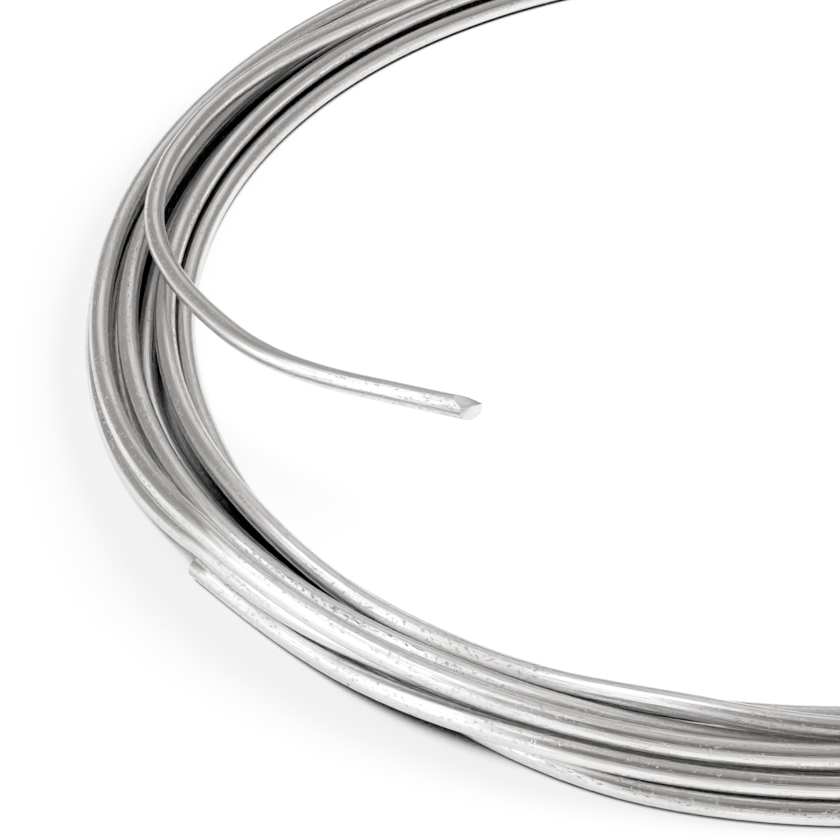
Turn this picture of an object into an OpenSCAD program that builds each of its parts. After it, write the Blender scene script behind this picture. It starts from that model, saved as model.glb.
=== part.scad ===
// Loose hand coil of bright aluminium wire, lying flat.
// One length of round wire, wound in turns that drift across each other.
// Origin: middle of the coil on the surface that it lies on, +Z up.

/* [Wire] */
// Diameter of the wire
wire_d = 2; // [1.2:0.1:3]
// Air left between neighbouring turns
turn_gap = 0.1; // [0.08:0.01:0.3]

/* [Coil] */
// Radius of the ring that the turns are laid around
coil_r = 63; // [50:1:120]

/* [Free end] */
// Length of the straight stretch that ends in the snipped tip
tip_len = 12; // [8:1:20]
// Angle between the tip's upper face and the wire
upper_angle = 25; // [20:5:60]
// Angle between the tip's lower face and the wire
lower_angle = 85; // [40:5:90]
// Rise of the tip's ridge above the wire's middle
snip_rise = 0.35; // [0:0.05:0.4]
// Skew of the tip's ridge across the wire
snip_skew = 28; // [0:1:35]
// Turn of the tip's ridge about the wire
snip_turn = -19; // [-45:1:45]

/* [Hidden] */

wire_r = wire_d / 2;
pitch = wire_d + turn_gap;

// Sides of the swept section, and the corner radius that keeps the section's area
sides = 10;
corner_r = wire_r * sqrt(PI / (sides / 2 * sin(360 / sides)));
tip_sides = 48;

// Angle between the sections of the sweep
step = 6;
turn = 360;
sections = turn / step;

// The lay of the wire from its buried end to its free end. Each station gives the
// winding angle, then how far out from the ring and how high the wire lies there,
// both counted in pitches. Places held for long: a on the floor, b in the layer above.
a0 = [2.2, 0];
a1 = [1, 0];
b0 = [1.75, 1];
b1 = [0.5, 0.98];

bundle = [
    // turn 1, out of the blunt end and up onto the next turn
    [222, [1.55, 0]], [232, [1.42, 0.05]], [241, [1.55, 0.6]], [247, [1.72, 0.92]],
    [276, [1.75, 0.93]], [300, b0], [560, b0],
    // turn 2, up to the top, across it and down to the floor
    [572, [1.6, 1.4]], [586, [1.38, 1.95]], [596, [1.35, 2]], [606, [1.25, 1.9]],
    [622, [1.22, 1.85]], [640, [1.1, 1.82]], [690, [0.6, 1.85]], [740, [0.1, 1.8]],
    [790, [-0.3, 0.95]], [850, [-0.45, 0.1]], [908, [-0.45, 0]],
    // turn 3, along the floor
    [922, [0, 0]], [936, [-0.2, 0]], [950, [-0.55, 0]], [958, [-0.5, 0]], [970, [0, 0]],
    [982, [0.2, 0]], [1060, [0.3, 0]], [1140, [0.7, 0]], [1200, a1], [1280, a1],
    // turn 4, out under the blunt end to the rim
    [1306, [0.5, 0]], [1316, [0.35, 0]], [1322, [0.6, 0]], [1328, [1.1, 0]], [1334, [1.65, 0]],
    [1341, [2.1, 0]], [1360, a0], [1540, a0], [1620, [2.05, 0]], [1640, [2.03, 0]],
    // turn 5, up from the rim
    [1648, [1.9, 0.05]], [1656, [1.75, 0.45]], [1666, [1.4, 0.95]], [1674, [1.25, 1.05]],
    [1682, [0.9, 1.1]], [1690, [0.75, 1]], [1702, [0.72, 0.96]], [1900, [0.65, 0.95]],
    [1980, b1], [2000, b1],
    // turn 6, inwards over the second layer and down to the floor
    [2016, [0.42, 0.97]], [2026, [0.2, 0.97]], [2036, [-0.05, 0.95]], [2046, [-0.2, 0.95]],
    [2062, [-0.3, 0.95]], [2110, [-0.6, 0.75]], [2150, [-1.1, 0.15]], [2180, [-1.5, 0]],
    [2220, [-1.9, 0]], [2340, [-1.95, 0.05]],
    // turn 7, the inside edge, then up onto the second layer
    [2368, [-2, 0]], [2376, [-1.8, 0]], [2384, [-1.74, 0]], [2396, [-1.95, 0]],
    [2410, [-2.2, 0]], [2422, [-2.44, 0]], [2434, [-2.55, 0]], [2470, [-2.4, 0.1]],
    [2510, [-2.1, 0.75]], [2540, [-1.75, 1]], [2580, [-1.25, 0.95]], [2660, [-1.15, 0.85]],
    [2700, [-1.15, 0.8]],
    // turn 8, up to the top of the bundle and across it
    [2728, [-1.19, 0.88]], [2736, [-1.34, 0.92]], [2746, [-1.32, 0.95]], [2758, [-1.1, 0.95]],
    [2770, [-1.14, 0.97]], [2776, [-1.1, 1.1]], [2782, [-0.9, 1.5]], [2788, [-0.52, 1.88]],
    [2796, [-0.05, 1.93]], [2812, [0, 1.82]], [2850, [-0.45, 1.8]], [2900, [-0.95, 1.85]],
    [2960, [-1.1, 1.85]], [3010, [-1.15, 1.85]], [3020, [-0.95, 1.88]], [3026, [-0.55, 1.9]],
    [3032, [-0.08, 1.92]], [3040, [0.33, 1.94]]
];
// Then the free end leaves the bundle across its inner edge
free_end = [
    [3045, [0.45, 1.98]], [3050, [0.45, 2]], [3055, [0.27, 2.06]], [3060, [-0.12, 2.14]],
    [3065, [-0.8, 2.26]], [3071, [-1.9, 2.42]], [3077, [-3.15, 2.6]], [3085, [-4.75, 2.9]],
    [3098, [-7.75, 3.65]]
];
lay = concat(bundle, free_end);

start_w = lay[0][0];
end_w = lay[len(lay) - 1][0];
// Winding angle at which the free end leaves the bundle
leave_w = bundle[len(bundle) - 1][0];

// Slope of the lay at station i: none at a turning point, the harmonic mean elsewhere
function rate(i, k) = (lay[i + 1][1][k] - lay[i][1][k]) / (lay[i + 1][0] - lay[i][0]);
function slope(i, k) =
    i == 0 || i == len(lay) - 1 ? (i == 0 ? 0 : rate(i - 1, k)) :
    let (p = rate(i - 1, k), q = rate(i, k))
    p * q <= 0 ? 0 : 2 * p * q / (p + q);

// Last station at or before the winding angle w, found by halving
function station(w, lo = 0, hi = len(lay) - 1) =
    hi - lo <= 1 ? lo :
    let (mid = floor((lo + hi) / 2))
    lay[mid][0] <= w ? station(w, mid, hi) : station(w, lo, mid);

// Offsets out and up, in pitches, at the winding angle w: a cubic between stations
function offsets(w) =
    let (i = station(w), span = lay[i + 1][0] - lay[i][0], t = (w - lay[i][0]) / span)
    [for (k = [0, 1])
        let (p = lay[i][1][k], q = lay[i + 1][1][k], mp = slope(i, k) * span,
            mq = slope(i + 1, k) * span)
        p + t * mp + t * t * (3 * (q - p) - 2 * mp - mq) + t * t * t * (2 * (p - q) + mp + mq)];

// Wires that share the section at angle a: the winding angle of each
function shared(a) = [for (w = [a : turn : leave_w]) if (w >= start_w) w];

// Push between two wires that lie too close, half the lack each. Turns that cross at
// a slant need a little more than a pitch between them in the section.
clear = 1.03;
function push(p, q) =
    let (d = p - q, n = norm(d))
    n == 0 || n >= clear ? [0, 0] : d / n * (clear - n) / 2;
function sum(v, i = 0) = i == len(v) - 1 ? v[i] : v[i] + sum(v, i + 1);
function settle(pts, rounds = 40) =
    rounds == 0 ? pts :
    settle([for (p = pts)
        let (q = p + sum([for (o = pts) push(p, o)]))
        [q[0], max(q[1], 0)]], rounds - 1);

settled = [for (s = [0 : sections - 1])
    settle([for (w = shared(s * step)) offsets(w)])];

// Offsets of the lay with every turn in a section pushed clear of the others
function laid(w) =
    w > leave_w ? offsets(w) :
    let (s = w / step % sections, first = s * step >= start_w ? s * step : s * step + turn)
    settled[s][round((w - first) / turn)];

function place(w) =
    let (o = laid(w), r = coil_r + o[0] * pitch)
    [r * cos(w), r * sin(w), wire_r + o[1] * pitch];

// Winding angles of the rings: even steps in the bundle, half steps on the free end
ring_ws = concat(
    [for (w = [ceil(start_w / step) * step : step : leave_w]) w],
    [for (w = [leave_w + step / 2 : step / 2 : end_w]) w]);
line = [for (w = ring_ws) place(w)];
last = len(line) - 1;

function unit(v) = v / norm(v);
function heading(i) = unit(line[min(i + 1, last)] - line[max(i - 1, 0)]);
end_heading = unit(line[last] - line[last - 1]);

// A ring of the section about the point p, square to the direction d
function ring(p, d, r) =
    let (side = unit(cross([0, 0, 1], d)), up = cross(d, side))
    [for (k = [0 : sides - 1])
        p + r * (cos(k * 360 / sides) * side + sin(k * 360 / sides) * up)];

// The sweep ends inside the round straight stretch, a little slimmer than it
seat = 1;
seat_r = wire_r * 0.94;

module sweep() {
    rings = [for (i = [0 : last])
        i == last ? ring(line[i], end_heading, seat_r) : ring(line[i], heading(i), corner_r)];
    skin = [for (i = [0 : last - 1], k = [0 : sides - 1], h = [0, 1])
        let (m = i * sides, n = (k + 1) % sides)
        h == 0 ? [m + k, m + sides + k, m + sides + n] : [m + k, m + sides + n, m + n]];
    polyhedron([for (r = rings) each r],
        concat([[for (k = [0 : sides - 1]) k]], skin,
            [[for (k = [sides - 1 : -1 : 0]) last * sides + k]]));
}

// One jaw of the snips: a block whose face runs back from the ridge to the wire's flank
jaw = 4 * wire_d;
module snip(angle) {
    rotate([0, -angle, 0]) translate([0, -jaw / 2, -jaw / 2]) cube(jaw);
}

// The straight stretch with its snipped tip, pointing along +Z from the origin, its upper
// side towards -X. The ridge's leading end reaches the full length.
half_ridge = sqrt(wire_r ^ 2 - snip_rise ^ 2);
ridge_z = tip_len - half_ridge * tan(snip_skew);
module tip() {
    difference() {
        cylinder(h = tip_len, r = wire_r, $fn = tip_sides);
        translate([0, 0, ridge_z]) rotate([0, 0, snip_turn]) translate([-snip_rise, 0, 0])
            rotate([snip_skew, 0, 0]) {
                snip(lower_angle);
                rotate([0, 0, 180]) snip(upper_angle);
            }
    }
}

module wire() {
    color("silver") {
        sweep();
        translate(line[last] - seat * end_heading)
            rotate([0, acos(end_heading[2]), atan2(end_heading[1], end_heading[0])])
                tip();
    }
}

wire();
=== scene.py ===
"""Loose hand coil of bright aluminium wire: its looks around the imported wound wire.

The wire is swept again with a round section along the same lay as the solid, its free
end is snipped, and it is dressed as bright drawn aluminium. All sizes are in metres
unless a name says otherwise.
"""

import logging
import math
from dataclasses import dataclass
from enum import Enum
from typing import Callable, Sequence

import bmesh
import bpy
from mathutils import Matrix, Vector


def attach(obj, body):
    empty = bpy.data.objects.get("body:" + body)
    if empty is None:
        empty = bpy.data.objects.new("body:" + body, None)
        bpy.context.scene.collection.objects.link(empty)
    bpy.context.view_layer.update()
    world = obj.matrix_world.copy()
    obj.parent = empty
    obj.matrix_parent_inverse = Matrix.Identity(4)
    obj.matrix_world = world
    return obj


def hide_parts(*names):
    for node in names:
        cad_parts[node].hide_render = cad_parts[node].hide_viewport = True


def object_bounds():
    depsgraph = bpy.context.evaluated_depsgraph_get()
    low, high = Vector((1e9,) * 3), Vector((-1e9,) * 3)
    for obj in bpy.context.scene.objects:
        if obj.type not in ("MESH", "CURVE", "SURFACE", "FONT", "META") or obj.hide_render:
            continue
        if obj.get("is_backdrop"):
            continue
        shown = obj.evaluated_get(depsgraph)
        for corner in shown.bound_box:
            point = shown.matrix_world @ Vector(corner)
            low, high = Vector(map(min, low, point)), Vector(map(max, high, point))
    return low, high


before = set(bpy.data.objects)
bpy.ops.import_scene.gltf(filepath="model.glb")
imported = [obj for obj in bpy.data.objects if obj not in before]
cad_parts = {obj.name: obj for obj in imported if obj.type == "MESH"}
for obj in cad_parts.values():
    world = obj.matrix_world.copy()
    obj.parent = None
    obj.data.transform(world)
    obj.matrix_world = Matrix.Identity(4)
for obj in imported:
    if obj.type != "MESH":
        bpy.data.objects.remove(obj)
CAD_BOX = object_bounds()

logging.basicConfig(level=logging.INFO, format="%(name)s: %(message)s")
LOG = logging.getLogger("coil")

MM = 0.001
TURN = 360
Offset = tuple[float, float]
Station = tuple[float, Offset]


class Layer(Enum):
    """Places that turns hold for long: offsets out from the ring and up, in pitches."""

    A0 = (2.2, 0)
    A1 = (1, 0)
    B0 = (1.75, 1)
    B1 = (0.5, 0.98)


def slot_run(slot: Layer, *windings: float) -> list[Station]:
    """Stations that hold one slot at each of the winding angles."""
    return [(w, slot.value) for w in windings]


# The lay of the wire from its buried end to its free end, as the solid has it. Each
# station gives the winding angle in degrees, then its offsets.
BUNDLE: list[Station] = [
    # turn 1, out of the blunt end and up onto the next turn
    (222, (1.55, 0)), (232, (1.42, 0.05)), (241, (1.55, 0.6)), (247, (1.72, 0.92)),
    (276, (1.75, 0.93)), *slot_run(Layer.B0, 300, 560),
    # turn 2, up to the top, across it and down to the floor
    (572, (1.6, 1.4)), (586, (1.38, 1.95)), (596, (1.35, 2)), (606, (1.25, 1.9)),
    (622, (1.22, 1.85)), (640, (1.1, 1.82)), (690, (0.6, 1.85)), (740, (0.1, 1.8)),
    (790, (-0.3, 0.95)), (850, (-0.45, 0.1)), (908, (-0.45, 0)),
    # turn 3, along the floor
    (922, (0, 0)), (936, (-0.2, 0)), (950, (-0.55, 0)), (958, (-0.5, 0)), (970, (0, 0)),
    (982, (0.2, 0)), (1060, (0.3, 0)), (1140, (0.7, 0)), *slot_run(Layer.A1, 1200, 1280),
    # turn 4, out under the blunt end to the rim
    (1306, (0.5, 0)), (1316, (0.35, 0)), (1322, (0.6, 0)), (1328, (1.1, 0)),
    (1334, (1.65, 0)), (1341, (2.1, 0)), *slot_run(Layer.A0, 1360, 1540),
    (1620, (2.05, 0)), (1640, (2.03, 0)),
    # turn 5, up from the rim
    (1648, (1.9, 0.05)), (1656, (1.75, 0.45)), (1666, (1.4, 0.95)), (1674, (1.25, 1.05)),
    (1682, (0.9, 1.1)), (1690, (0.75, 1)), (1702, (0.72, 0.96)), (1900, (0.65, 0.95)),
    *slot_run(Layer.B1, 1980, 2000),
    # turn 6, inwards over the second layer and down to the floor
    (2016, (0.42, 0.97)), (2026, (0.2, 0.97)), (2036, (-0.05, 0.95)), (2046, (-0.2, 0.95)),
    (2062, (-0.3, 0.95)), (2110, (-0.6, 0.75)), (2150, (-1.1, 0.15)), (2180, (-1.5, 0)),
    (2220, (-1.9, 0)), (2340, (-1.95, 0.05)),
    # turn 7, the inside edge, then up onto the second layer
    (2368, (-2, 0)), (2376, (-1.8, 0)), (2384, (-1.74, 0)), (2396, (-1.95, 0)),
    (2410, (-2.2, 0)), (2422, (-2.44, 0)), (2434, (-2.55, 0)), (2470, (-2.4, 0.1)),
    (2510, (-2.1, 0.75)), (2540, (-1.75, 1)), (2580, (-1.25, 0.95)), (2660, (-1.15, 0.85)),
    (2700, (-1.15, 0.8)),
    # turn 8, up to the top of the bundle and across it
    (2728, (-1.19, 0.88)), (2736, (-1.34, 0.92)), (2746, (-1.32, 0.95)),
    (2758, (-1.1, 0.95)), (2770, (-1.14, 0.97)), (2776, (-1.1, 1.1)), (2782, (-0.9, 1.5)),
    (2788, (-0.52, 1.88)), (2796, (-0.05, 1.93)), (2812, (0, 1.82)), (2850, (-0.45, 1.8)),
    (2900, (-0.95, 1.85)), (2960, (-1.1, 1.85)), (3010, (-1.15, 1.85)),
    (3020, (-0.95, 1.88)), (3026, (-0.55, 1.9)), (3032, (-0.08, 1.92)),
    (3040, (0.33, 1.94)),
]
FREE_END: list[Station] = [
    (3045, (0.45, 1.98)), (3050, (0.45, 2)), (3055, (0.27, 2.06)), (3060, (-0.12, 2.14)),
    (3065, (-0.8, 2.26)), (3071, (-1.9, 2.42)), (3077, (-3.15, 2.6)), (3085, (-4.75, 2.9)),
    (3098, (-7.75, 3.65)),
]


@dataclass(frozen=True)
class Lay:
    """Where the wire lies, from its buried end to the start of its straight tip."""

    wire_d: float = 2 * MM
    turn_gap: float = 0.1 * MM
    coil_r: float = 63 * MM
    # Degrees between the points of the bundle; the free end has twice as many
    step: int = 2
    # Least distance between settled turns, in pitches, and the rounds that settle them
    clear: float = 1.03
    rounds: int = 40
    # Share by which the stiff wire evens out its bends, and how often
    ease: float = 0.5
    eases: int = 8

    @property
    def pitch(self) -> float:
        """Distance between the middles of turns that lie side by side."""
        return self.wire_d + self.turn_gap

    @property
    def stations(self) -> list[Station]:
        """The whole lay, bundle and free end."""
        return BUNDLE + FREE_END

    @property
    def leave_w(self) -> float:
        """Winding angle at which the free end leaves the bundle."""
        return BUNDLE[-1][0]

    def rate(self, i: int, k: int) -> float:
        """Slope of the straight line from station i to the next, for offset k."""
        (w, p), (v, q) = self.stations[i], self.stations[i + 1]
        return (q[k] - p[k]) / (v - w)

    def slope(self, i: int, k: int) -> float:
        """Slope of the lay at a station.

        Args:
            i: number of the station.
            k: 0 for the offset out, 1 for the offset up.

        Returns:
            The slope in pitches a degree: none at a turning point, else the harmonic
            mean of its two neighbours.
        """
        if i == 0:
            return 0.0
        before = self.rate(i - 1, k)
        if i == len(self.stations) - 1:
            return before
        after = self.rate(i, k)
        return 0.0 if before * after <= 0 else 2 * before * after / (before + after)

    def offsets(self, w: float) -> Vector:
        """Offsets of the lay before it is settled.

        Args:
            w: winding angle in degrees.

        Returns:
            Offsets out and up, in pitches, from a cubic between stations.
        """
        stations = self.stations
        i = max(n for n in range(len(stations) - 1) if stations[n][0] <= w or n == 0)
        span = stations[i + 1][0] - stations[i][0]
        t = (w - stations[i][0]) / span
        out = []
        for k in (0, 1):
            p, q = stations[i][1][k], stations[i + 1][1][k]
            mp, mq = self.slope(i, k) * span, self.slope(i + 1, k) * span
            out.append(p + t * mp + t * t * (3 * (q - p) - 2 * mp - mq)
                       + t ** 3 * (2 * (p - q) + mp + mq))
        return Vector(out)

    def settle(self, turns: list[Vector]) -> list[Vector]:
        """Pushes the turns of one section clear of each other and of the floor.

        Args:
            turns: offsets of each turn in the section.

        Returns:
            The settled offsets.
        """
        for _ in range(self.rounds):
            moved = []
            for p in turns:
                q = p.copy()
                for other in turns:
                    gap = p - other
                    n = gap.length
                    if 0 < n < self.clear:
                        q += gap / n * (self.clear - n) / 2
                moved.append(Vector((q.x, max(q.y, 0))))
            turns = moved
        return turns

    def settle_all(self, placed: dict[int, Vector]) -> None:
        """Settles the turns of every section, in place.

        Args:
            placed: offsets at each winding angle of the bundle.
        """
        start_w = self.stations[0][0]
        for a in range(0, TURN, self.step):
            shared = [w for w in range(a, int(self.leave_w) + 1, TURN) if w >= start_w]
            placed.update(zip(shared, self.settle([placed[w] for w in shared])))

    def even_out(self, placed: dict[int, Vector]) -> None:
        """Moves each point of the bundle towards the middle of its neighbours, in place.

        Args:
            placed: offsets at each winding angle of the bundle.
        """
        before = dict(placed)
        for w, offset in before.items():
            if w - self.step in before and w + self.step in before:
                middle = (before[w - self.step] + before[w + self.step]) / 2
                placed[w] = offset.lerp(middle, self.ease)

    def point(self, w: float, offset: Vector) -> Vector:
        """Turns a winding angle and its offsets into a place.

        Args:
            w: winding angle in degrees.
            offset: offsets out and up, in pitches.

        Returns:
            The middle of the wire there.
        """
        r = self.coil_r + offset.x * self.pitch
        a = math.radians(w)
        return Vector((r * math.cos(a), r * math.sin(a),
                       self.wire_d / 2 + offset.y * self.pitch))

    def line(self) -> list[Vector]:
        """Lays the wire, from the blunt end to the start of its straight tip.

        Returns:
            The points of its middle line.
        """
        start_w, end_w = self.stations[0][0], self.stations[-1][0]
        placed = {w: self.offsets(w)
                  for w in range(start_w, int(self.leave_w) + 1, self.step)}
        for _ in range(self.eases):
            self.settle_all(placed)
            self.even_out(placed)
        self.settle_all(placed)
        points = [self.point(w, placed[w]) for w in sorted(placed)]
        w = self.leave_w + self.step / 2
        while w <= end_w:
            points.append(self.point(w, self.offsets(w)))
            w += self.step / 2
        return points


class Nodes:
    """Short ways to add and link nodes in one node tree."""

    def __init__(self, tree: bpy.types.NodeTree) -> None:
        """Keeps the tree that the nodes go into."""
        self.tree = tree

    def add(self, kind: str, **values: object) -> bpy.types.Node:
        """Adds a node and sets its properties.

        Args:
            kind: class name of the node.
            values: properties to set on it.

        Returns:
            The node.
        """
        node = self.tree.nodes.new(kind)
        for name, value in values.items():
            setattr(node, name, value)
        return node

    def link(self, source: bpy.types.NodeSocket, target: bpy.types.NodeSocket) -> None:
        """Links one socket to another."""
        self.tree.links.new(source, target)

    def math(self, operation: str, *terms: object) -> bpy.types.NodeSocket:
        """Adds a Math node.

        Args:
            operation: what it works out.
            terms: numbers or sockets.

        Returns:
            Its output socket.
        """
        node = self.add("ShaderNodeMath", operation=operation)
        for socket, term in zip(node.inputs, terms):
            self.feed(term, socket)
        return node.outputs[0]

    def feed(self, term: object, socket: bpy.types.NodeSocket) -> None:
        """Links a socket, or sets a plain value.

        Args:
            term: a number, a colour or a socket.
            socket: the input that it goes to.
        """
        if isinstance(term, bpy.types.NodeSocket):
            self.link(term, socket)
        else:
            socket.default_value = term

    def stretch(self, vector: bpy.types.NodeSocket, scale: Sequence[float]
                ) -> bpy.types.NodeSocket:
        """Scales a vector.

        Args:
            vector: socket with the vector.
            scale: factor for each axis.

        Returns:
            Socket with the scaled vector.
        """
        node = self.add("ShaderNodeVectorMath", operation="MULTIPLY")
        self.link(vector, node.inputs[0])
        node.inputs[1].default_value = tuple(scale)
        return node.outputs[0]

    def noise(self, vector: bpy.types.NodeSocket, detail: float, rough: float
              ) -> bpy.types.NodeSocket:
        """Adds a noise texture.

        Args:
            vector: socket with its coordinates, one cycle to each unit.
            detail: octaves.
            rough: roughness of the octaves.

        Returns:
            Socket with the noise, around 0.5.
        """
        node = self.add("ShaderNodeTexNoise", noise_dimensions="3D")
        self.link(vector, node.inputs["Vector"])
        node.inputs["Scale"].default_value = 1.0
        node.inputs["Detail"].default_value = detail
        node.inputs["Roughness"].default_value = rough
        return node.outputs["Fac"]

    def remap(self, value: bpy.types.NodeSocket, low: float, high: float,
              to_low: object = 0.0, to_high: object = 1.0) -> bpy.types.NodeSocket:
        """Maps a range to another, smoothly and held at its ends.

        Args:
            value: socket with the value.
            low: value that gives to_low.
            high: value that gives to_high.
            to_low: result at low.
            to_high: result at high.

        Returns:
            Socket with the result.
        """
        node = self.add("ShaderNodeMapRange", interpolation_type="SMOOTHSTEP")
        self.link(value, node.inputs["Value"])
        for name, term in (("From Min", low), ("From Max", high),
                           ("To Min", to_low), ("To Max", to_high)):
            self.feed(term, node.inputs[name])
        return node.outputs["Result"]

    def blend(self, factor: object, first: object, second: object
              ) -> bpy.types.NodeSocket:
        """Mixes two colours.

        Args:
            factor: share of the second, a number or a socket.
            first: colour or socket.
            second: colour or socket.

        Returns:
            Socket with the colour.
        """
        node = self.add("ShaderNodeMix", data_type="RGBA")
        sockets = {s.identifier: s for s in node.inputs}
        self.feed(factor, sockets["Factor_Float"])
        self.feed(first, sockets["A_Color"])
        self.feed(second, sockets["B_Color"])
        return next(s for s in node.outputs if s.identifier == "Result_Color")


def node_group(name: str, build: Callable[[Nodes, bpy.types.Node, bpy.types.Node], None],
               inputs: dict[str, str], outputs: dict[str, str]) -> bpy.types.NodeTree:
    """Builds a shader node group once and gives it back after that.

    Args:
        name: name of the group.
        build: fills it, from its nodes, its input node and its output node.
        inputs: kind of each input socket.
        outputs: kind of each output socket.

    Returns:
        The group.
    """
    if name in bpy.data.node_groups:
        return bpy.data.node_groups[name]
    group = bpy.data.node_groups.new(name, "ShaderNodeTree")
    for way, sockets in (("INPUT", inputs), ("OUTPUT", outputs)):
        for socket, kind in sockets.items():
            group.interface.new_socket(name=socket, in_out=way, socket_type=kind)
    nodes = Nodes(group)
    build(nodes, nodes.add("NodeGroupInput"), nodes.add("NodeGroupOutput"))
    return group


FLOAT, VECTOR = "NodeSocketFloat", "NodeSocketVector"
BLACK, WHITE = (0, 0, 0, 1), (1, 1, 1, 1)
# Slot of the wire's second material, that of its cut ends
CUT_SLOT = 1


@dataclass(frozen=True)
class Pattern:
    """A noise that follows the lay of the wire.

    Its cycles are counted along the wire for each millimetre, then across it for each
    radius, as the lay attribute is. Its mask rises from 0 to 1 between its two edges.
    """

    cycles: tuple[float, float, float]
    detail: float = 2.0
    rough: float = 0.5
    edges: tuple[float, float] = (0.0, 1.0)

    def noise(self, n: Nodes, lay: bpy.types.NodeSocket) -> bpy.types.NodeSocket:
        """The noise, around 0.5."""
        return n.noise(n.stretch(lay, self.cycles), self.detail, self.rough)

    def mask(self, n: Nodes, lay: bpy.types.NodeSocket) -> bpy.types.NodeSocket:
        """The noise as a mask between its edges."""
        return n.remap(self.noise(n, lay), *self.edges)


BROAD_LINES = Pattern((0.04, 2.6, 2.6), 3, 0.6)
FINE_LINES = Pattern((0.16, 12, 12), 3, 0.65)
BROAD_SHARE, FINE_SHARE = 0.7, 0.3
STREAK_EDGES = (0.5, 0.64)

WORN_PLACES = Pattern((0.09, 0.9, 0.9))
NICKED_EDGES, SCUFFED_EDGES = (0.42, 0.58), (0.4, 0.66)
NICKS = Pattern((2.6, 3.4, 3.4), edges=(0.6, 0.67))
LUMPS = Pattern((1.7, 6, 6), 3, 0.65, (0.56, 0.66))
PITTED_STRETCHES = Pattern((0.06, 0.4, 0.4), edges=(0.46, 0.56))
BAND_DRIFT = Pattern((0.15, 0, 0))
# The band of pits, in radii from its middle: where it is gone, and where it is full
BAND_EDGES = (0.24, 0.04)


def drawing_lines() -> bpy.types.NodeTree:
    """Group with the fine lines that the drawing die leaves along the wire.

    Returns:
        The group: Height of the lines, and Streaks, a mask of the duller ones.
    """

    def build(n: Nodes, source: bpy.types.Node, out: bpy.types.Node) -> None:
        """Fills the group: broad and fine streaks, long along the wire.

        Args:
            n: nodes of the group.
            source: its input node.
            out: its output node.
        """
        lay = source.outputs["Lay"]
        broad, fine = BROAD_LINES.noise(n, lay), FINE_LINES.noise(n, lay)
        height = n.math("ADD", n.math("MULTIPLY", broad, BROAD_SHARE),
                        n.math("MULTIPLY", fine, FINE_SHARE))
        n.link(height, out.inputs["Height"])
        n.link(n.remap(fine, *STREAK_EDGES), out.inputs["Streaks"])

    return node_group("drawing_lines", build, {"Lay": VECTOR},
                      {"Height": FLOAT, "Streaks": FLOAT})


def handling_marks() -> bpy.types.NodeTree:
    """Group with the nicks, pits and scuffs that handling leaves.

    Returns:
        The group: masks of the Nicks, the Pits and the Scuffs.
    """

    def build(n: Nodes, source: bpy.types.Node, out: bpy.types.Node) -> None:
        """Fills the group: short nicks, a drifting band of pits, broad scuffs.

        Args:
            n: nodes of the group.
            source: its input node.
            out: its output node.
        """
        lay = source.outputs["Lay"]
        where = WORN_PLACES.noise(n, lay)
        nicks = n.math("MULTIPLY", NICKS.mask(n, lay), n.remap(where, *NICKED_EDGES))
        split = n.add("ShaderNodeSeparateXYZ")
        n.link(lay, split.inputs[0])
        drift = n.math("SUBTRACT", BAND_DRIFT.noise(n, lay), 0.5)
        from_middle = n.math("ABSOLUTE", n.math("ADD", split.outputs["Z"], drift))
        band = n.remap(from_middle, *BAND_EDGES)
        pits = n.math("MULTIPLY", LUMPS.mask(n, lay),
                      n.math("MULTIPLY", band, PITTED_STRETCHES.mask(n, lay)))
        n.link(nicks, out.inputs["Nicks"])
        n.link(pits, out.inputs["Pits"])
        n.link(n.remap(where, *SCUFFED_EDGES), out.inputs["Scuffs"])

    return node_group("handling_marks", build, {"Lay": VECTOR},
                      {"Nicks": FLOAT, "Pits": FLOAT, "Scuffs": FLOAT})


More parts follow.
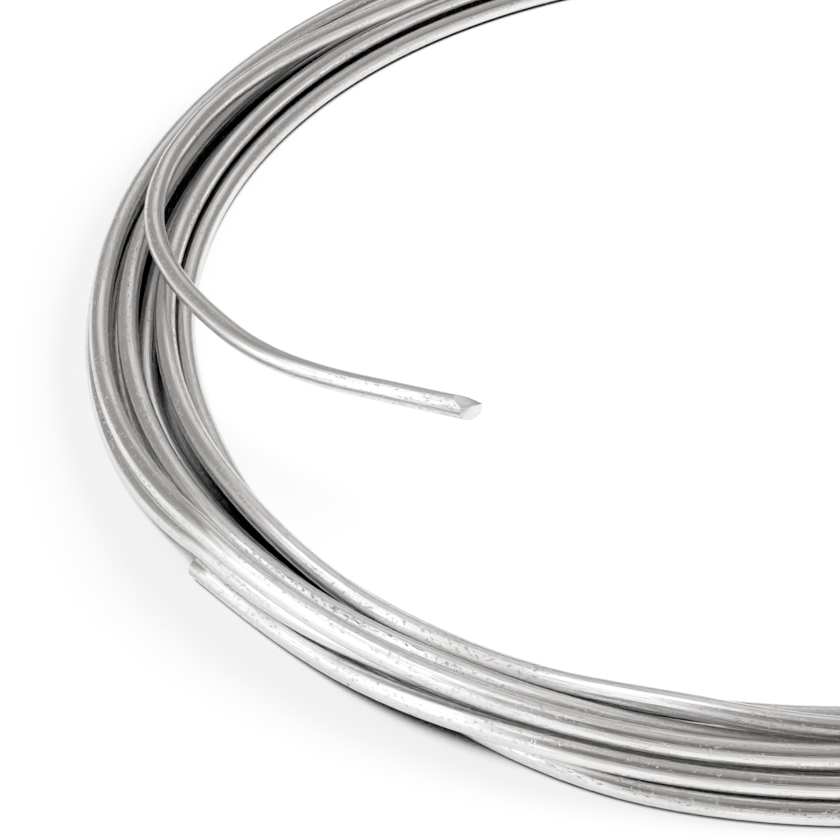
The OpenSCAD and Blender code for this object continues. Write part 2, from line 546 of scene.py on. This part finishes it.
@dataclass(frozen=True)
class BareAluminium:
    """A finish of bare aluminium: drawn skin, or a face that the snips cut."""

    name: str
    # Clean metal, and the duller metal of its streaks and scuffs
    colour: tuple[float, float, float]
    dull: tuple[float, float, float]
    # Roughness of clean and of scuffed metal
    roughness: float
    scuffed: float
    # Share of the dull colour in a streak
    streaked: float
    # Height of the drawing lines, and depth of nicks and pits
    line_depth: float
    nick_depth: float
    # Whether its marks follow the wire, or the plain axes of the part
    along_wire: bool = True
    # Share of the dull colour in a scuff, and the shade of a pit beside that colour
    scuff_tint: float = 0.12
    pit_shade: float = 0.5
    # Roughness that streaks and nicks add
    streak_rough: float = 0.08
    nick_rough: float = 0.15

    def material(self) -> bpy.types.Material:
        """Builds the material.

        Returns:
            The material, with its lines and marks laid along the wire.
        """
        mat = bpy.data.materials.new(self.name)
        mat.use_nodes = True
        mat.node_tree.nodes.clear()
        n = Nodes(mat.node_tree)
        if self.along_wire:
            lay = n.add("ShaderNodeAttribute", attribute_name="lay").outputs["Vector"]
        else:
            lay = n.stretch(n.add("ShaderNodeTexCoord").outputs["Object"], (1 / MM,) * 3)
        lines = n.add("ShaderNodeGroup", node_tree=drawing_lines())
        marks = n.add("ShaderNodeGroup", node_tree=handling_marks())
        for node in (lines, marks):
            n.link(lay, node.inputs["Lay"])
        skin = n.add("ShaderNodeBsdfPrincipled")
        skin.inputs["Metallic"].default_value = 1.0

        worn = n.math("ADD", n.math("MULTIPLY", marks.outputs["Scuffs"], self.scuff_tint),
                      n.math("MULTIPLY", lines.outputs["Streaks"], self.streaked))
        tint = n.blend(worn, (*self.colour, 1), (*self.dull, 1))
        pit = (*(c * self.pit_shade for c in self.dull), 1)
        tint = n.blend(marks.outputs["Pits"], tint, pit)
        n.link(tint, skin.inputs["Base Color"])

        rough = n.remap(marks.outputs["Scuffs"], 0, 1, self.roughness, self.scuffed)
        streak = n.math("MULTIPLY", lines.outputs["Streaks"], self.streak_rough)
        nick = n.math("MULTIPLY", marks.outputs["Nicks"], self.nick_rough)
        rough = n.math("ADD", n.math("ADD", rough, streak), nick)
        n.link(rough, skin.inputs["Roughness"])

        low = n.math("MULTIPLY", lines.outputs["Height"], self.line_depth)
        cut = n.math("ADD", marks.outputs["Nicks"], marks.outputs["Pits"])
        height = n.math("SUBTRACT", low, n.math("MULTIPLY", cut, self.nick_depth))
        bump = n.add("ShaderNodeBump")
        bump.inputs["Strength"].default_value = 1.0
        bump.inputs["Distance"].default_value = 1.0
        n.link(height, bump.inputs["Height"])
        n.link(bump.outputs["Normal"], skin.inputs["Normal"])
        out = n.add("ShaderNodeOutputMaterial")
        n.link(skin.outputs[0], out.inputs["Surface"])
        return mat


@dataclass(frozen=True)
class WhiteTable:
    """The white table: it keeps the coil's shadow, and painted shade blackens the bundle's
    gaps.
    """

    colour: tuple[float, float, float] = (0.93, 0.93, 0.93)
    # Share of white glow that camera and mirror rays see; the rest is lit and shaded
    lift: float = 0.76
    # Painted shade in the bundle's gaps and close under the wire darkens the table's colour
    # and its glow: how far away the wire still darkens it, the openness at which it is
    # black, and the openness at which the painted shade is gone
    painted_shade_reach: float = 30 * MM
    painted_shade_black: float = 0.24
    painted_shade_clear: float = 0.38
    painted_shade_samples: int = 16

    def material(self) -> bpy.types.Material:
        """Builds the material.

        Returns:
            A white diffuse, mixed with a white glow for camera and mirror rays, both
            darkened by painted shade in the gaps.
        """
        mat = bpy.data.materials.new("white_table")
        mat.use_nodes = True
        mat.node_tree.nodes.clear()
        n = Nodes(mat.node_tree)
        ray = n.add("ShaderNodeLightPath")
        seen = n.math("MAXIMUM", ray.outputs["Is Camera Ray"],
                      n.math("MAXIMUM", ray.outputs["Is Glossy Ray"],
                             ray.outputs["Is Transmission Ray"]))
        # Painted shade: how open the table is to the sky, black in the bundle's gaps
        shade = n.add("ShaderNodeAmbientOcclusion", samples=self.painted_shade_samples)
        shade.inputs["Distance"].default_value = self.painted_shade_reach
        open_sky = n.remap(shade.outputs["AO"], self.painted_shade_black, self.painted_shade_clear)
        flat = n.add("ShaderNodeBsdfDiffuse")
        # Painted shade in the table's own colour
        n.link(n.blend(open_sky, BLACK, (*self.colour, 1)), flat.inputs["Color"])
        glow = n.add("ShaderNodeEmission")
        glow.inputs["Color"].default_value = WHITE
        # Painted shade in the glow, so the gaps look dark to the camera and in the metal
        n.link(open_sky, glow.inputs["Strength"])
        mix = n.add("ShaderNodeMixShader")
        n.link(n.math("MULTIPLY", seen, self.lift), mix.inputs[0])
        n.link(flat.outputs[0], mix.inputs[1])
        n.link(glow.outputs[0], mix.inputs[2])
        out = n.add("ShaderNodeOutputMaterial")
        n.link(mix.outputs[0], out.inputs["Surface"])
        return mat


@dataclass
class WoundWire:
    """The one wire of the coil: its wound turns, blunt end and snipped free end."""

    lay: Lay
    skin: BareAluminium
    cut: BareAluminium
    sides: int = 24
    # The snipped tip, as the solid has it: its length, the angles of its two faces to
    # the wire, and the rise, skew and turn of the ridge where they meet
    tip_len: float = 12 * MM
    upper_angle: float = math.radians(25)
    lower_angle: float = math.radians(85)
    snip_rise: float = 0.35 * MM
    snip_skew: float = math.radians(28)
    snip_turn: float = math.radians(-19)
    # The straight tip starts this far before the end of the lay, and has these rings
    seat: float = 1 * MM
    tip_rings: tuple[float, ...] = (1 * MM, 3 * MM, 5 * MM, 7 * MM, 9 * MM)
    # Slow roll of the wire about its own line, which the drawing lines follow
    roll_length: float = 0.9
    # Rounding of the blunt end's rim and of the edges that the snips leave
    rim: float = 0.12 * MM
    ridge: float = 0.05 * MM
    # Points closer to a cut than this count as on it
    on_cut: float = 1e-7

    def __post_init__(self) -> None:
        """Sets the wire's radius from its lay."""
        self.radius = self.lay.wire_d / 2

    def ring_frames(self) -> list[tuple[Matrix, float]]:
        """Frames of the section along the wire.

        Returns:
            For each ring its matrix, with Z along the wire, and the distance from the
            blunt end.
        """
        line = self.lay.line()
        heading = (line[-1] - line[-2]).normalized()
        line += [line[-1] + heading * d
                 for d in (*self.tip_rings, self.tip_len - self.seat)]
        frames, travelled = [], 0.0
        for i, point in enumerate(line):
            if i:
                travelled += (point - line[i - 1]).length
            ahead = (line[min(i + 1, len(line) - 1)] - line[max(i - 1, 0)]).normalized()
            side = Vector((0, 0, 1)).cross(ahead).normalized()
            up = ahead.cross(side)
            turn = Matrix((side, up, ahead)).transposed().to_4x4()
            roll = Matrix.Rotation(math.tau * travelled / self.roll_length, 4, "Z")
            frames.append((Matrix.Translation(point) @ turn @ roll, travelled))
        return frames

    def mark_lay(self, bm: bmesh.types.BMesh, verts: Sequence[bmesh.types.BMVert],
                 place: Matrix, travelled: float) -> None:
        """Writes the lay attribute on one ring.

        Args:
            bm: the mesh.
            verts: vertices of the ring.
            place: the ring's frame.
            travelled: its distance from the blunt end.
        """
        layer = bm.verts.layers.float_vector["lay"]
        back = place.inverted()
        for v in verts:
            local = back @ v.co
            v[layer] = Vector((travelled / MM, local.x / self.radius,
                               local.y / self.radius))

    def sweep(self, bm: bmesh.types.BMesh, frames: list[tuple[Matrix, float]]
              ) -> tuple[list[bmesh.types.BMEdge], list[bmesh.types.BMEdge]]:
        """Extrudes a circle from ring to ring.

        Args:
            bm: the mesh.
            frames: the rings' frames and distances.

        Returns:
            The edges of the first and of the last ring.
        """
        bm.verts.layers.float_vector.new("lay")
        place, travelled = frames[0]
        made = bmesh.ops.create_circle(bm, cap_ends=False, radius=self.radius,
                                       segments=self.sides, matrix=place)
        verts = made["verts"]
        self.mark_lay(bm, verts, place, travelled)
        edges = list({e for v in verts for e in v.link_edges})
        first = edges
        for following, travelled in frames[1:]:
            made = bmesh.ops.extrude_edge_only(bm, edges=edges)["geom"]
            verts = [g for g in made if isinstance(g, bmesh.types.BMVert)]
            fresh = set(verts)
            edges = [g for g in made if isinstance(g, bmesh.types.BMEdge)
                     and all(v in fresh for v in g.verts)]
            bmesh.ops.transform(bm, matrix=following @ place.inverted(), verts=verts)
            self.mark_lay(bm, verts, following, travelled)
            place = following
        return first, edges

    def close(self, bm: bmesh.types.BMesh, edges: Sequence[bmesh.types.BMEdge]
              ) -> list[bmesh.types.BMFace]:
        """Fills an open ring.

        Args:
            bm: the mesh.
            edges: the ring's edges.

        Returns:
            The new faces.
        """
        return bmesh.ops.holes_fill(bm, edges=edges, sides=0)["faces"]

    def blunt_end(self, bm: bmesh.types.BMesh, edges: Sequence[bmesh.types.BMEdge]
                  ) -> None:
        """Closes the buried end and breaks its rim.

        Args:
            bm: the mesh.
            edges: edges of the first ring.
        """
        for face in self.close(bm, edges):
            face.material_index = CUT_SLOT
        bmesh.ops.bevel(bm, geom=list(edges), offset=self.rim, offset_type="OFFSET",
                        segments=2, profile=0.5, affect="EDGES", material=-1)

    def snipped_end(self, bm: bmesh.types.BMesh, edges: Sequence[bmesh.types.BMEdge],
                    place: Matrix) -> None:
        """Cuts the free end to a skewed ridge with two faces.

        Args:
            bm: the mesh.
            edges: edges of the last ring.
            place: frame of the start of the straight tip, unrolled.
        """
        self.close(bm, edges)
        back, end = place.inverted(), place @ Vector((0, 0, self.tip_len))
        near = {v for v in bm.verts if (back @ v.co).z > self.tip_len / 2
                and (v.co - end).length < self.tip_len}
        half_ridge = math.sqrt(self.radius ** 2 - self.snip_rise ** 2)
        turn = Matrix.Rotation(self.snip_turn, 4, "Z")
        ridge_at = turn @ Vector((-self.snip_rise, 0, self.tip_len
                                  - half_ridge * math.tan(self.snip_skew)))
        lie = turn @ Matrix.Rotation(self.snip_skew, 4, "X")
        for side, angle in ((0, self.lower_angle), (math.pi, self.upper_angle)):
            facing = lie @ Matrix.Rotation(side, 4, "Z") @ Vector(
                (math.cos(angle), 0, math.sin(angle)))
            faces = {f for v in near for f in v.link_faces}
            lines = {e for f in faces for e in f.edges}
            points = {v for f in faces for v in f.verts}
            result = bmesh.ops.bisect_plane(
                bm, geom=[*points, *lines, *faces], dist=self.on_cut,
                plane_co=place @ ridge_at, plane_no=place.to_3x3() @ facing,
                clear_outer=True, clear_inner=False)["geom_cut"]
            cut_edges = [g for g in result if isinstance(g, bmesh.types.BMEdge)]
            near = {v for v in near if v.is_valid}
            near |= {v for e in cut_edges for v in e.verts}
            for face in self.close(bm, cut_edges):
                face.material_index = CUT_SLOT
                near |= set(face.verts)
        borders = {e for f in bm.faces if f.material_index == CUT_SLOT for e in f.edges}
        bmesh.ops.bevel(bm, geom=list(borders), offset=self.ridge, offset_type="OFFSET",
                        segments=2, profile=0.5, affect="EDGES", material=-1,
                        clamp_overlap=True)

    def build(self) -> bpy.types.Object:
        """Builds and dresses the wire.

        Returns:
            The finished object, riding on the root body.
        """
        frames = self.ring_frames()
        bm = bmesh.new()
        first, last = self.sweep(bm, frames)
        for face in bm.faces:
            face.smooth = True
        self.snipped_end(bm, last, self.tip_frame(frames))
        self.blunt_end(bm, first)
        bmesh.ops.recalc_face_normals(bm, faces=bm.faces)
        mesh = bpy.data.meshes.new("wound_wire")
        bm.to_mesh(mesh)
        bm.free()
        for finish in (self.skin, self.cut):
            mesh.materials.append(finish.material())
        wire = bpy.data.objects.new("wound_wire", mesh)
        bpy.context.scene.collection.objects.link(wire)
        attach(wire, "root")
        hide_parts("wire")
        LOG.info("wound_wire: %d faces, %.2f m of wire", len(mesh.polygons), frames[-1][1])
        return wire

    def tip_frame(self, frames: list[tuple[Matrix, float]]) -> Matrix:
        """Frame of the start of the straight tip, as the solid has it.

        Args:
            frames: the rings' frames.

        Returns:
            Matrix with Z along the tip, X turned downwards from upright.
        """
        end = frames[-1][0]
        ahead = end.to_3x3().col[2].normalized()
        tilt = (Matrix.Rotation(math.atan2(ahead.y, ahead.x), 4, "Z")
                @ Matrix.Rotation(math.acos(ahead.z), 4, "Y"))
        return Matrix.Translation(end.translation - ahead * self.tip_len) @ tilt


@dataclass(frozen=True)
class SoftBox:
    """A round soft box in the surround, seen only in the metal that mirrors it."""

    # The way to its middle
    way: tuple[float, float, float]
    # Degrees from its middle to where it is full, and to where it is gone
    full: float
    reach: float
    # Its light, as a share of the way from the ceiling to the brightest
    strength: float

    def light(self, n: Nodes, way: bpy.types.NodeSocket) -> bpy.types.NodeSocket:
        """Adds the soft box to the surround.

        Args:
            n: nodes of the world.
            way: socket with the direction looked in.

        Returns:
            Socket with its light in that direction.
        """
        near = n.add("ShaderNodeVectorMath", operation="DOT_PRODUCT")
        n.link(way, near.inputs[0])
        near.inputs[1].default_value = Vector(self.way).normalized()
        return n.remap(near.outputs["Value"], math.cos(math.radians(self.reach)),
                       math.cos(math.radians(self.full)), 0.0, self.strength)


@dataclass(frozen=True)
class Studio:
    """White table, bright surround with a darker ceiling, lamp and camera."""

    floor_size: float = 6.0
    # The camera looks down at this angle, then turns, and stands this many ring radii off
    camera_height: float = math.radians(36.97)
    camera_roll: float = math.radians(2.70)
    camera_yaw: float = math.radians(7.92)
    camera_pitch: float = math.radians(-3.19)
    ring: float = 63 * MM
    camera_away: float = 4.1101
    lens_mm: float = 114.5
    sensor_mm: float = 36
    clip: tuple[float, float] = (0.01, 50)
    # The low wall of light: heights where it fades, and how far back it dims
    wall_top: tuple[float, float] = (0.54, 0.68)
    wall_back: tuple[float, float] = (0.05, 0.42)
    wall_dim: float = 0.3
    wall_light: float = 0.46
    # Colours of the surround where it is darkest and where it is brightest
    ceiling: tuple[float, float, float] = (0.185, 0.171, 0.158)
    bright: tuple[float, float, float] = (1.32, 1.32, 1.33)
    # The lamp: where it hangs, its width and height, and its power in watts
    lamp_at: tuple[float, float, float] = (0.52, 0.14, 0.44)
    lamp_size: tuple[float, float] = (0.4, 0.4)
    lamp_watts: float = 6.0
    boxes: tuple[SoftBox, ...] = (
        SoftBox((0, 0.8, 0.6), 10, 25, 0.52),
        SoftBox((0, 0.4, 0.92), 10, 55, 0.22),
        SoftBox((-0.4, 0.25, 0.88), 13, 21, 0.92),
        SoftBox((-0.62, -0.05, 0.78), 14, 22, 0.92),
        SoftBox((-0.78, -0.35, 0.52), 16, 25, 1.0),
        SoftBox((-0.85, -0.5, 0.1), 27, 39, 1.0))

    def camera(self) -> None:
        """Places the camera that the coil is seen through."""
        h = self.camera_height
        back = Vector((0, -math.cos(h), math.sin(h)))
        place = back * self.camera_away * self.ring
        right = Vector((1, 0, 0))
        up = back.cross(right)
        yaw = Matrix.Rotation(self.camera_yaw, 3, up)
        back, right = yaw @ back, yaw @ right
        pitch = Matrix.Rotation(self.camera_pitch, 3, right)
        back, up = pitch @ back, pitch @ up
        roll = Matrix.Rotation(self.camera_roll, 3, back)
        right, up = roll @ right, roll @ up
        data = bpy.data.cameras.new("view")
        data.lens = self.lens_mm
        data.sensor_width = self.sensor_mm
        data.clip_start, data.clip_end = self.clip
        camera = bpy.data.objects.new("view", data)
        turn = Matrix((right, up, back)).transposed().to_4x4()
        camera.matrix_world = Matrix.Translation(place) @ turn
        bpy.context.scene.collection.objects.link(camera)
        bpy.context.scene.camera = camera

    def floor(self) -> None:
        """Lays the white table."""
        bm = bmesh.new()
        bmesh.ops.create_grid(bm, x_segments=1, y_segments=1, size=self.floor_size / 2)
        mesh = bpy.data.meshes.new("table")
        bm.to_mesh(mesh)
        bm.free()
        mesh.materials.append(WhiteTable().material())
        table = bpy.data.objects.new("table", mesh)
        bpy.context.scene.collection.objects.link(table)
        table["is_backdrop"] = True

    def lamp(self) -> None:
        """Hangs the lamp that casts the coil's soft shadow, unseen in the metal."""
        data = bpy.data.lights.new("key", "AREA")
        data.shape = "RECTANGLE"
        data.size, data.size_y = self.lamp_size
        data.energy = self.lamp_watts
        lamp = bpy.data.objects.new("key", data)
        lamp.visible_glossy = False
        at = Vector(self.lamp_at)
        lamp.matrix_world = (Matrix.Translation(at)
                             @ (-at).to_track_quat("-Z", "Y").to_matrix().to_4x4())
        bpy.context.scene.collection.objects.link(lamp)

    def surround(self) -> None:
        """Sets the world: a low wall of light and soft boxes under a dark ceiling."""
        world = bpy.data.worlds.new("surround")
        bpy.context.scene.world = world
        world.use_nodes = True
        world.node_tree.nodes.clear()
        n = Nodes(world.node_tree)
        way = n.add("ShaderNodeTexCoord").outputs["Generated"]
        split = n.add("ShaderNodeSeparateXYZ")
        n.link(way, split.inputs[0])
        wall = n.remap(split.outputs["Z"], *self.wall_top, 1.0, 0.0)
        wall = n.math("MULTIPLY", wall,
                      n.remap(split.outputs["Y"], *self.wall_back, 1.0, self.wall_dim))
        light = n.math("MULTIPLY", wall, self.wall_light)
        for box in self.boxes:
            light = n.math("MAXIMUM", light, box.light(n, way))
        colour = n.blend(light, (*self.ceiling, 1), (*self.bright, 1))
        dome = n.add("ShaderNodeBackground")
        n.link(colour, dome.inputs["Color"])
        out = n.add("ShaderNodeOutputWorld")
        n.link(dome.outputs[0], out.inputs["Surface"])

    def build(self) -> None:
        """Sets up the whole studio."""
        self.camera()
        self.floor()
        self.surround()
        self.lamp()
        LOG.info("studio: table, surround, lamp and camera")


DRAWN_SKIN = BareAluminium(
    "drawn_aluminium", colour=(0.87, 0.865, 0.86), dull=(0.5, 0.49, 0.475), roughness=0.13,
    scuffed=0.28, streaked=0.34, line_depth=0.05 * MM, nick_depth=0.03 * MM)
SNIPPED_FACE = BareAluminium(
    "snipped_aluminium", colour=(0.86, 0.87, 0.88), dull=(0.72, 0.73, 0.74), roughness=0.24,
    scuffed=0.4, streaked=0.3, line_depth=0.006 * MM, nick_depth=0, along_wire=False)


def main() -> None:
    """Builds the studio and the wire, and reports each."""
    scene = bpy.context.scene
    scene.view_settings.view_transform = "Standard"
    Studio().build()
    WoundWire(Lay(), DRAWN_SKIN, SNIPPED_FACE).build()
    bpy.context.view_layer.update()
    boxes = {name: [[float(c) for c in corner] for corner in box]
             for name, box in (("cad", CAD_BOX), ("visual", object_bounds()))}


if __name__ == "__main__":
    main()
